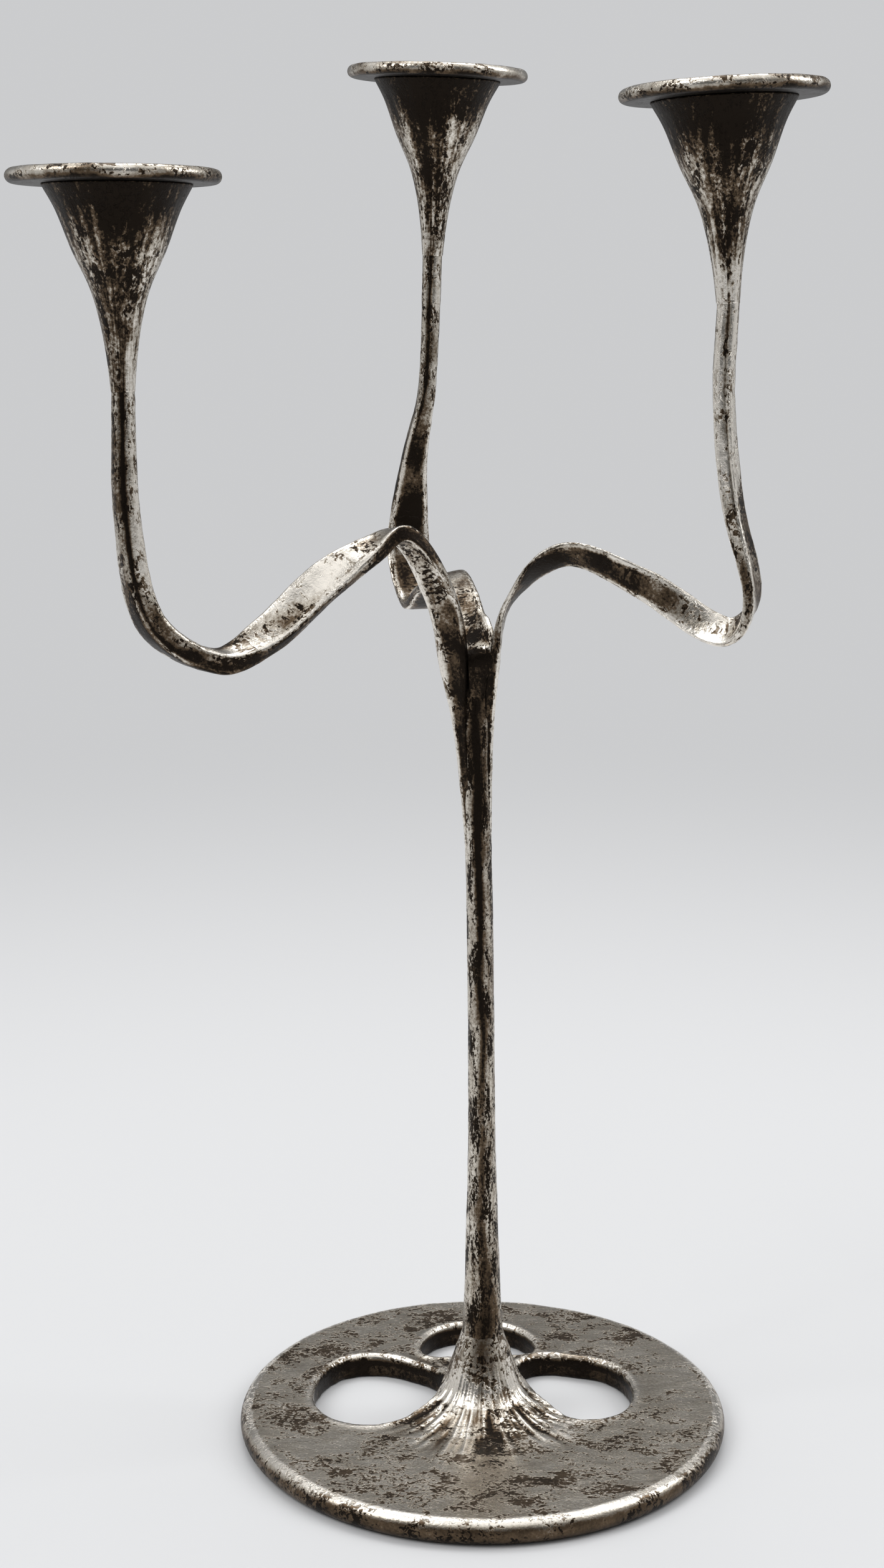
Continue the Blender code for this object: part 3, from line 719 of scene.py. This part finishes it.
def stem_surface():
    """The skin of the stem and the marks of its rows."""
    size = sizes()
    route = stem_route()
    marks = [0.0, *accumulate(math.dist(a, b) for a, b in pairwise(route))]
    peak = size.crown_height + size.saddle_height

    def surface(row, around):
        height, radius, _ = route[row]
        turn = math.tau * around
        off = turn_between(turn, -math.pi / 2 + 0.25 * grain((0.0, 0.0, height), 0.03, 1.0))
        width = 0.20 + 0.60 * soft_step(0.215, 0.300, height)
        top = soft_step(peak - 0.042, peak - 0.002, height)
        hollow = hump(off, width) * soft_step(0.125, 0.250, height)
        reach = radius - size.hollow_depth * hollow * (0.35 + 0.65 * soft_step(0.24, 0.30, height))
        direction = heading(turn)
        place = crown_middle(height) + direction * reach
        place.x += top * (0.0018 + 0.30 * reach * direction.x)
        place.y += top * 0.60 * reach * max(0.0, direction.y)
        place.z += top * reach * (1.8 * max(0.0, direction.y) + 0.5 * min(0.0, direction.y))
        place.z += 0.004 * noise_round(turn, 4, 0.0) * soft_step(0.046, 0.034, height)
        rough = grain((place.x, place.y, place.z * 0.3), 0.004, 2.0)
        rough += 0.6 * grain((place.x, place.y, place.z * 0.4), 0.0018, 9.0)
        place += direction * 0.00016 * rough
        line_share = soft_step(0.270, 0.050, height) + 0.9 * soft_step(0.130, 0.200, height) * (1 - top)
        line = 0.38 * hump(off, 0.30 + 0.30 * soft_step(0.075, 0.040, height)) * line_share
        # The side facing right and a little forward gets painted shade.
        side = 0.12 * soft_step(0.0, 0.9, math.cos(turn - math.radians(-20)))
        low = 0.04 * soft_step(0.100, 0.045, height)
        dark = 0.28 + 0.52 * hollow + line + side + low - 0.10 * rough
        return place, dark

    return marks, surface


class CANDELABRUM_OT_stem(bpy.types.Operator):
    """Slim stem: a core between the roots of the arms, with a dark hollow that narrows to a line down its front"""
    bl_idname = "candelabrum.stem"
    bl_label = "Stem"

    def execute(self, context):
        marks, surface = stem_surface()
        shape = roll_tube(marks, STEM_COLUMNS, surface)
        finish_piece(shape, "stem_body", ["stem"], "frame", aged_and_shaded_silver("stem_silver"))
        return {"FINISHED"}


def cup_axis(arm):
    return Vector((arm.lean_x, arm.lean_y, 1.0)).normalized()


def cup_mouth(arm):
    angle = math.radians(arm.angle)
    return Vector((arm.reach * math.cos(angle), arm.reach * math.sin(angle), arm.mouth))


def cup_stand(arm):
    """Turns a cup to its axis and sets its mouth in place."""
    tilt = Vector((0.0, 0.0, 1.0)).rotation_difference(cup_axis(arm)).to_matrix().to_4x4()
    return Matrix.Translation(cup_mouth(arm)) @ tilt


def arm_axes(arm):
    """Level directions outward along an arm and sideways across it."""
    outward = heading(math.radians(arm.angle))
    return outward, Vector((-outward.y, outward.x, 0.0))


def arm_stops(arm):
    """Stops of a ribbon from low in the stem to just inside its cup, with width, thickness and twist."""
    size = sizes()
    outward, sideways = arm_axes(arm)
    seat = heading(math.radians(arm.root_angle)) * arm.root_offset
    crown = crown_middle(size.crown_height)
    root = crown + seat + Vector((0.0, 0.0, size.fit_gap))
    tip = cup_mouth(arm) - cup_axis(arm) * (size.cup_length + size.fit_gap)
    tip_width = 2 * size.cup_tip_radius - size.fit_gap
    stops = []
    if arm is ARMS["back"]:
        for x, y, z, *form in SADDLE_TAIL:
            stops.append((*(crown + Vector((x, y, z))), *form))
    else:
        for sink, drawn, width, thick in ROOT_TAIL:
            buried = crown_middle(size.crown_height - sink) + seat * drawn
            stops.append((*buried, arm.root_width * width, size.root_thickness * thick, arm.root_twist))
        stops.append((*root, arm.root_width, size.root_thickness, arm.root_twist))
    for stop in arm.stops:
        place = (outward * stop.out + sideways * stop.aside) * arm.reach
        height = root.z + (tip.z - root.z) * stop.up
        stops.append((place.x, place.y, height, stop.width, stop.thick, stop.twist))
    stops.append((*tip, tip_width, tip_width, 0.0))
    stops.append((*(tip + cup_axis(arm) * 0.004), tip_width * 0.9, tip_width * 0.9, 0.0))
    return stops


def ribbon_surface(arm):
    """The skin of one ribbon arm, with channels, soft ridges and a line up its shaft, and the marks of its rows."""
    size = sizes()
    _, sideways = arm_axes(arm)
    route = smooth_through(arm_stops(arm), ARM_ROWS)
    middles = [Vector(stop[:3]) for stop in route]
    frames = []
    for i, stop in enumerate(route):
        ahead = (middles[min(i + 1, ARM_ROWS)] - middles[max(i - 1, 0)]).normalized()
        side = (sideways - ahead * sideways.dot(ahead)).normalized()
        lift = ahead.cross(side)
        turn = math.radians(stop[5])
        frames.append((side * math.cos(turn) + lift * math.sin(turn), lift * math.cos(turn) - side * math.sin(turn)))
    groove_turn = math.radians(arm.groove - arm.angle - 90)
    root_side = round(math.cos(math.radians(arm.root_angle)))
    marks = [0.0, *accumulate((b - a).length for a, b in pairwise(middles))]

    def surface(row, around):
        width, thick = route[row][3:5]
        across, outer = frames[row]
        turn = math.tau * around
        flatness = max(0.0, 1.0 - thick / width)
        squareness = 2.0 + 2.4 * min(1.0, 4.0 * flatness)
        u, v = squircle_point(width / 2, thick / 2, squareness, turn)
        share_u, share_v = abs(u) / width * 2, abs(v) / thick * 2
        hollow = flatness * max(0.0, 1 - (1.12 * share_u) ** 2)
        dent = max(0.0, 1 - (1.12 * share_v) ** 2) * soft_step(0.40, 0.75, thick / width) * min(1.0, 6 * flatness)
        stout = soft_step(0.28, 0.42, thick / width)
        v *= 1 - 0.65 * (1 - stout) * share_u ** 2
        v -= math.copysign(size.channel_depth, v) * hollow * (1.0 if v > 0 else 0.6) * min(1.0, thick / 0.004)
        u -= math.copysign(0.4 * size.channel_depth, u) * dent
        if u > 0:
            u *= 1 - arm.taper * soft_step(size.crown_height + 0.006, size.crown_height - 0.030, middles[row].z)
        from_tip = marks[-1] - marks[row]
        shaft = soft_step(0.088, 0.058, from_tip)
        dip = soft_step(0.200, 0.160, from_tip)
        root = soft_step(0.215, 0.245, from_tip)
        band_turn = -soft_step(0.128, 0.086, from_tip)
        band = soft_step(0.85, 0.60, abs(turn_between(turn, band_turn))) * stout * (1 - root)
        # glint is a painted highlight on the dip.
        glint = arm.glint * hump(from_tip - 0.134, 0.018) * (1 - band)
        groove = hump(turn_between(turn, groove_turn), 0.30) * shaft
        shrink = 1 - size.groove_depth * groove / max(math.hypot(u, v), 1e-5)
        place = middles[row] + (across * u + outer * v) * shrink
        normal = (across * u / width ** 2 + outer * v / thick ** 2).normalized()
        rough = grain(place, 0.0075, 5.0) + 0.6 * grain(place, 0.0028, 8.0)
        place += normal * 0.00018 * rough
        drift = grain(place, 0.014, 3.0) * (1 - shaft)
        ridge = hump(share_u - share_v, 0.26) * min(1.0, 4 * flatness)
        rim = soft_step(0.90, 0.99, share_u) * (1 - stout)
        # lower darkens faces turned downward as painted shade, less so on the root.
        lower = soft_step(0.65, -0.05, normal.z) * (1 - 0.55 * root)
        tone = arm.tone + (arm.shaft - arm.tone) * shaft + band * (arm.front + (arm.band - arm.front) * shaft)
        shaded = hollow * (0.06 + 0.22 * lower) + 0.26 * lower * (1 - stout) * (1 - rim) + 0.16 * lower * (1 - shaft)
        # Ridges and thin rims are rubbed bright; the extra brightening of downward ridges in the dip, and glint, are
        # painted highlights.
        rubbed_and_highlit = (0.36 + 0.60 * lower * dip) * ridge * (1 - 0.5 * shaft) + 0.45 * rim + glint
        dark = tone + shaded + 0.70 * groove - rubbed_and_highlit - 0.14 * rough + 0.42 * drift
        # Below the crown's edge the root is painted black as shade, with painted light where it faces outward.
        lit_from = 0.60 - 0.18 * soft_step(0.295, 0.330, place.z)
        lit = soft_step(lit_from, lit_from + 0.26, root_side * normal.x)
        edge_height = size.crown_height + arm.dark_below - arm.dark_slant * u / width * 2
        shade_under_crown = soft_step(edge_height + 0.0016, edge_height - 0.0016, place.z) * soft_step(0.225, 0.280, place.z)
        dark += (0.84 - 1.05 * lit - 0.1 * rough - dark) * shade_under_crown
        # The back root's lip gets a painted highlight.
        if not root_side:
            lip = hump(place.z - edge_height - 0.0022, 0.0016) * soft_step(0.003, -0.003, place.y)
            dark -= 0.6 * lip
        return place, dark

    return marks, surface


class CANDELABRUM_OT_arms(bpy.types.Operator):
    """Ribbon arms: each leaves the crown, crests, dips and rises into its cup"""
    bl_idname = "candelabrum.arms"
    bl_label = "Ribbon arms"

    def execute(self, context):
        finish = aged_and_shaded_silver("arm_silver")
        for name, arm in ARMS.items():
            marks, surface = ribbon_surface(arm)
            shape = roll_tube(marks, ARM_COLUMNS, surface)
            finish_piece(shape, "ribbon_" + name, ["arm_" + name], "frame", finish)
        return {"FINISHED"}


def pocket_radius():
    return sizes().candle_bore_radius + sizes().socket_wall + POCKET_PLAY


def cup_section():
    """Half section of a trumpet cup below its mouth at height zero, closed at its foot."""
    size = sizes()
    belly = size.cup_mouth_radius - size.cup_tip_radius
    stops = [(-size.cup_length * share, size.cup_tip_radius + belly * fill, 0.0) for share, fill in (
        (0.0, 1.0), (0.12, 0.79), (0.31, 0.555), (0.49, 0.29), (0.65, 0.145), (0.83, 0.05), (1.0, 0.0))]
    pocket = pocket_radius()
    section = [(0.0, -size.cup_pocket_depth), (pocket, -size.cup_pocket_depth), (pocket, 0.0)]
    section += [(radius, height) for height, radius, _ in smooth_through(stops, 110)]
    return section + [(0.0, -size.cup_length)]


def cup_point(arm, number, place):
    """Where a point of a spun cup belongs, and how dark it is from tarnishing and painted shade."""
    size = sizes()
    x, y, z = place
    radius = math.hypot(x, y)
    if z > -0.0002 or radius < pocket_radius() and z > -size.cup_pocket_depth - 0.001:
        return Vector(place), 0.55
    turn = math.atan2(y, x)
    streak = noise_round(turn, 5, z * 16 + 9 * number)
    fine = noise_round(turn, 14, z * 30 + 5 * number)
    depth = -z / size.cup_length
    off = turn_between(turn, math.radians(arm.groove)) * max(radius, 0.001)
    groove = hump(off, 0.0015) * soft_step(0.35, 0.75, depth)
    shade = hump(off, 0.0020 + 0.0060 * soft_step(0.85, 0.25, depth))
    move = 0.00028 * streak * soft_step(0.0, 0.1, depth) - size.groove_depth * groove
    grow = 1 + move / max(radius, 0.001) if depth < 0.999 else 1.0
    # The cup's top part under the pan is black, partly patina and partly painted shade.
    under = soft_step(0.36, 0.05, depth)
    lower = soft_step(0.95, 0.70, depth)
    band = soft_step(0.95, 0.60, abs(turn_between(turn, math.radians(arm.angle + 33))))
    dark = (0.36 * lower + (arm.shaft + arm.band * band) * (1 - lower) + 0.65 * under
            + 0.26 * fine - 0.36 * streak + 0.38 * shade)
    return Vector((x * grow, y * grow, z)), dark


class CANDELABRUM_OT_cups(bpy.types.Operator):
    """Trumpet cups: black under the pan from patina and painted shade, streaked below and lined into the shaft"""
    bl_idname = "candelabrum.cups"
    bl_label = "Trumpet cups"

    def execute(self, context):
        finish = aged_and_shaded_silver("cup_silver")
        for number, (name, arm) in enumerate(ARMS.items()):
            shape = spin_profile(cup_section(), SPIN_STEPS)
            work_over(shape, partial(cup_point, arm, number))
            move_shape(shape, cup_stand(arm))
            finish_piece(shape, "trumpet_" + name, ["cup_" + name], "frame", finish)
        return {"FINISHED"}


def nozzle_place(arm):
    """Where a nozzle stands: on its cup's mouth, along its axis, as far aside as it lies."""
    return cup_stand(arm) @ Matrix.Translation((arm.nozzle_shift, 0.0, sizes().fit_gap))


def pan_section():
    """Half section of a drip pan: a dished top inside a full rounded rim."""
    size = sizes()
    middle = size.pan_thickness / 2
    bore = size.candle_bore_radius + size.socket_wall + size.fit_gap
    rim = size.pan_radius - middle
    dish = size.pan_thickness - size.pan_dish
    section = [(bore, dish)]
    section += [(bore + (rim - size.pan_rim - bore) * step / 8 + 0.0001, dish) for step in range(9)]
    for step in range(1, 8):
        share = step / 8
        section.append((rim - size.pan_rim * (1 - share), dish + size.pan_dish * soft_step(0.0, 1.0, share)))
    for step in range(25):
        turn = math.pi * step / 24
        section.append((rim + middle * math.sin(turn), middle + middle * math.cos(turn)))
    return section + [(rim + (bore - rim) * step / 8, 0.0) for step in range(1, 9)]


def pan_point(number, place):
    """Where a point of a spun pan belongs, and how dark it is from tarnishing and painted shade."""
    x, y, z = place
    radius = math.hypot(x, y)
    share = z / sizes().pan_thickness
    outer = soft_step(0.030, 0.036, radius)
    wave = noise.noise(Vector((2.2 * x / radius, 2.2 * y / radius, 4.0 * number)))
    ripple = grain((x, y, z), 0.006, 3.0 + number)
    grow = 1 + (0.0003 * wave + 0.00012 * ripple) * outer / radius
    lift = 0.00012 * ripple * soft_step(0.4, 0.9, share)
    # The rim's lower half and the underside are painted darker as shade.
    low = soft_step(0.6, 0.05, share)
    shade_beneath = soft_step(0.06, 0.01, share)
    dark = 0.28 + 0.50 * low + 0.30 * shade_beneath + 0.20 * ripple + 0.22 * wave + 0.10 * (1 - outer)
    return Vector((x * grow, y * grow, z + lift)), dark


class CANDELABRUM_OT_drip_pans(bpy.types.Operator):
    """Drip pans: flat dishes with a full, slightly uneven rim"""
    bl_idname = "candelabrum.drip_pans"
    bl_label = "Drip pans"

    def execute(self, context):
        finish = aged_and_shaded_silver("pan_silver")
        for number, (name, arm) in enumerate(ARMS.items()):
            shape = spin_profile(pan_section(), SPIN_STEPS)
            work_over(shape, partial(pan_point, number))
            move_shape(shape, nozzle_place(arm))
            finish_piece(shape, "pan_" + name, ["drip_pan_" + name], "nozzle_" + name, finish)
        return {"FINISHED"}


def socket_section():
    """Half section of a candle socket: a closed sleeve that hangs by a rolled lip."""
    size = sizes()
    outer = size.candle_bore_radius + size.socket_wall
    lip_foot = size.pan_thickness - size.pan_dish + size.fit_gap
    lip_top = lip_foot + size.socket_wall
    foot = size.fit_gap - size.cup_pocket_depth
    section = [
        (0.0, foot + size.socket_wall),
        (size.candle_bore_radius, foot + size.socket_wall),
        (size.candle_bore_radius, lip_top),
        (outer + size.socket_lip, lip_top),
        (outer + size.socket_lip, lip_foot),
        (outer, lip_foot),
        (outer, foot),
        (0.0, foot),
    ]
    for corner, radius in ((6, 0.0006), (4, 0.0003), (3, 0.0007), (2, 0.0005), (1, 0.0006)):
        section = rounded(section, corner, radius)
    return section


class CANDELABRUM_OT_sockets(bpy.types.Operator):
    """Candle sockets: brass sleeves with a rolled lip"""
    bl_idname = "candelabrum.sockets"
    bl_label = "Candle sockets"

    def execute(self, context):
        finish = plain_metal("socket_brass", finish_colours().brass, 0.22, 0.45, 130.0)
        for name, arm in ARMS.items():
            shape = spin_profile(socket_section(), SOCKET_STEPS)
            move_shape(shape, nozzle_place(arm))
            finish_piece(shape, "socket_" + name, ["candle_socket_" + name], "nozzle_" + name, finish)
        return {"FINISHED"}


class CANDELABRUM_OT_studs(bpy.types.Operator):
    """Studs: the hidden fasteners keep their shape and get a steel finish"""
    bl_idname = "candelabrum.studs"
    bl_label = "Studs"

    def execute(self, context):
        finish = plain_metal("stud_steel", finish_colours().steel, 0.28, 0.5, 260.0)
        for name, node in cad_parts.items():
            if "stud" in name:
                for slot in node.material_slots:
                    slot.material = finish
        return {"FINISHED"}


def studio_world():
    """Soft light from above and both sides, greyer behind and dim in front; a plain pale backdrop to the camera."""
    world = bpy.data.worlds.new("studio")
    bpy.context.scene.world = world
    world.use_nodes = True
    tree = world.node_tree
    outlook = add_node(tree, "ShaderNodeTexCoord").outputs["Generated"]
    direction = add_node(tree, "ShaderNodeSeparateXYZ", {"Vector": outlook})
    above = span(tree, direction.outputs["Z"], 0.42, 0.95, 0.0, 1.05)
    behind = span(tree, direction.outputs["Y"], -0.60, 0.50, 0.12, 0.21)
    across = add_node(tree, "ShaderNodeMath", {0: direction.outputs["X"]}, operation="ABSOLUTE")
    beside = span(tree, across.outputs["Value"], 0.50, 0.95, 0.0, 0.42)
    light = weighted_sum(tree, ((above, 1.0), (behind, 1.0), (beside, 1.0)))
    seen = add_node(tree, "ShaderNodeLightPath").outputs["Is Camera Ray"]
    shade = add_node(tree, "ShaderNodeMix", {"Factor": seen, 6: light, "B": (*finish_colours().floor, 1.0)},
                     data_type="RGBA")
    set_inputs(tree, tree.nodes["Background"], {"Color": shade.outputs[2], "Strength": 1.0})


def pale_floor():
    """Plain floor that keeps the object's shadow and fades into the backdrop further off."""
    shade = (*finish_colours().floor, 1.0)
    material, tree, near, place = new_material("pale_floor")
    set_inputs(tree, near, {"Base Color": shade, "Roughness": 0.7})
    far = add_node(tree, "ShaderNodeEmission", {"Color": shade, "Strength": 1.0})
    distance = add_node(tree, "ShaderNodeVectorMath", {0: place}, operation="LENGTH")
    fade = span(tree, distance.outputs["Value"], 0.35, 1.6)
    blend = add_node(tree, "ShaderNodeMixShader", {"Fac": fade, 1: near.outputs["BSDF"], 2: far.outputs["Emission"]})
    tree.links.new(blend.outputs["Shader"], tree.nodes["Material Output"].inputs["Surface"])
    return material


def softbox(name, place, width, height, power):
    """A rectangular lamp that faces the object."""
    lamp = bpy.data.lights.new(name, "AREA")
    lamp.shape = "RECTANGLE"
    lamp.size = width
    lamp.size_y = height
    lamp.energy = power
    box = bpy.data.objects.new(name, lamp)
    bpy.context.scene.collection.objects.link(box)
    box.location = place
    box.rotation_euler = (Vector(LAMP_AIM) - Vector(place)).to_track_quat("-Z", "Y").to_euler()


class CANDELABRUM_OT_stage(bpy.types.Operator):
    """Stage: pale floor, soft studio light and the camera"""
    bl_idname = "candelabrum.stage"
    bl_label = "Stage"

    def execute(self, context):
        scene = context.scene
        scene.view_settings.view_transform = "Standard"
        shape = bmesh.new()
        bmesh.ops.create_circle(shape, cap_ends=True, segments=FLOOR_STEPS, radius=FLOOR_RADIUS)
        floor = add_object(shape, "floor")
        floor.data.materials.append(pale_floor())
        studio_world()
        for name, lamp in SOFTBOXES.items():
            softbox(name, *lamp)
        camera = bpy.data.cameras.new("photo_camera")
        camera.sensor_fit = "VERTICAL"
        camera.sensor_height = CAMERA_SENSOR
        camera.lens = CAMERA_LENS
        view = bpy.data.objects.new("photo_camera", camera)
        view.location = CAMERA_PLACE
        view.rotation_euler = (math.pi / 2 - CAMERA_TILT, 0.0, 0.0)
        scene.collection.objects.link(view)
        scene.camera = view
        return {"FINISHED"}


class CANDELABRUM_PT_sidebar(bpy.types.Panel):
    """Sizes, finishes and pieces of the candelabrum"""
    bl_idname = "CANDELABRUM_PT_sidebar"
    bl_label = "Candelabrum"
    bl_space_type = "VIEW_3D"
    bl_region_type = "UI"
    bl_category = "Candelabrum"

    def draw(self, context):
        layout = self.layout
        for group in (sizes(), finish_colours()):
            box = layout.box()
            for prop in group.__annotations__:
                box.prop(group, prop)
        for maker in OPERATORS:
            layout.operator(maker.bl_idname)


OPERATORS = (
    CANDELABRUM_OT_base,
    CANDELABRUM_OT_stem,
    CANDELABRUM_OT_arms,
    CANDELABRUM_OT_cups,
    CANDELABRUM_OT_drip_pans,
    CANDELABRUM_OT_sockets,
    CANDELABRUM_OT_studs,
    CANDELABRUM_OT_stage,
)
CLASSES = (CandelabrumSizes, CandelabrumFinish, *OPERATORS, CANDELABRUM_PT_sidebar)


def register():
    for cls in CLASSES:
        bpy.utils.register_class(cls)
    bpy.types.Scene.candelabrum_sizes = bpy.props.PointerProperty(type=CandelabrumSizes)
    bpy.types.Scene.candelabrum_finish = bpy.props.PointerProperty(type=CandelabrumFinish)


def unregister():
    del bpy.types.Scene.candelabrum_finish
    del bpy.types.Scene.candelabrum_sizes
    for cls in reversed(CLASSES):
        bpy.utils.unregister_class(cls)


def main():
    register()
    bpy.ops.candelabrum.base()
    bpy.ops.candelabrum.stem()
    bpy.ops.candelabrum.arms()
    bpy.ops.candelabrum.cups()
    bpy.ops.candelabrum.drip_pans()
    bpy.ops.candelabrum.sockets()
    bpy.ops.candelabrum.studs()
    bpy.ops.candelabrum.stage()


if __name__ == "__main__":
    main()
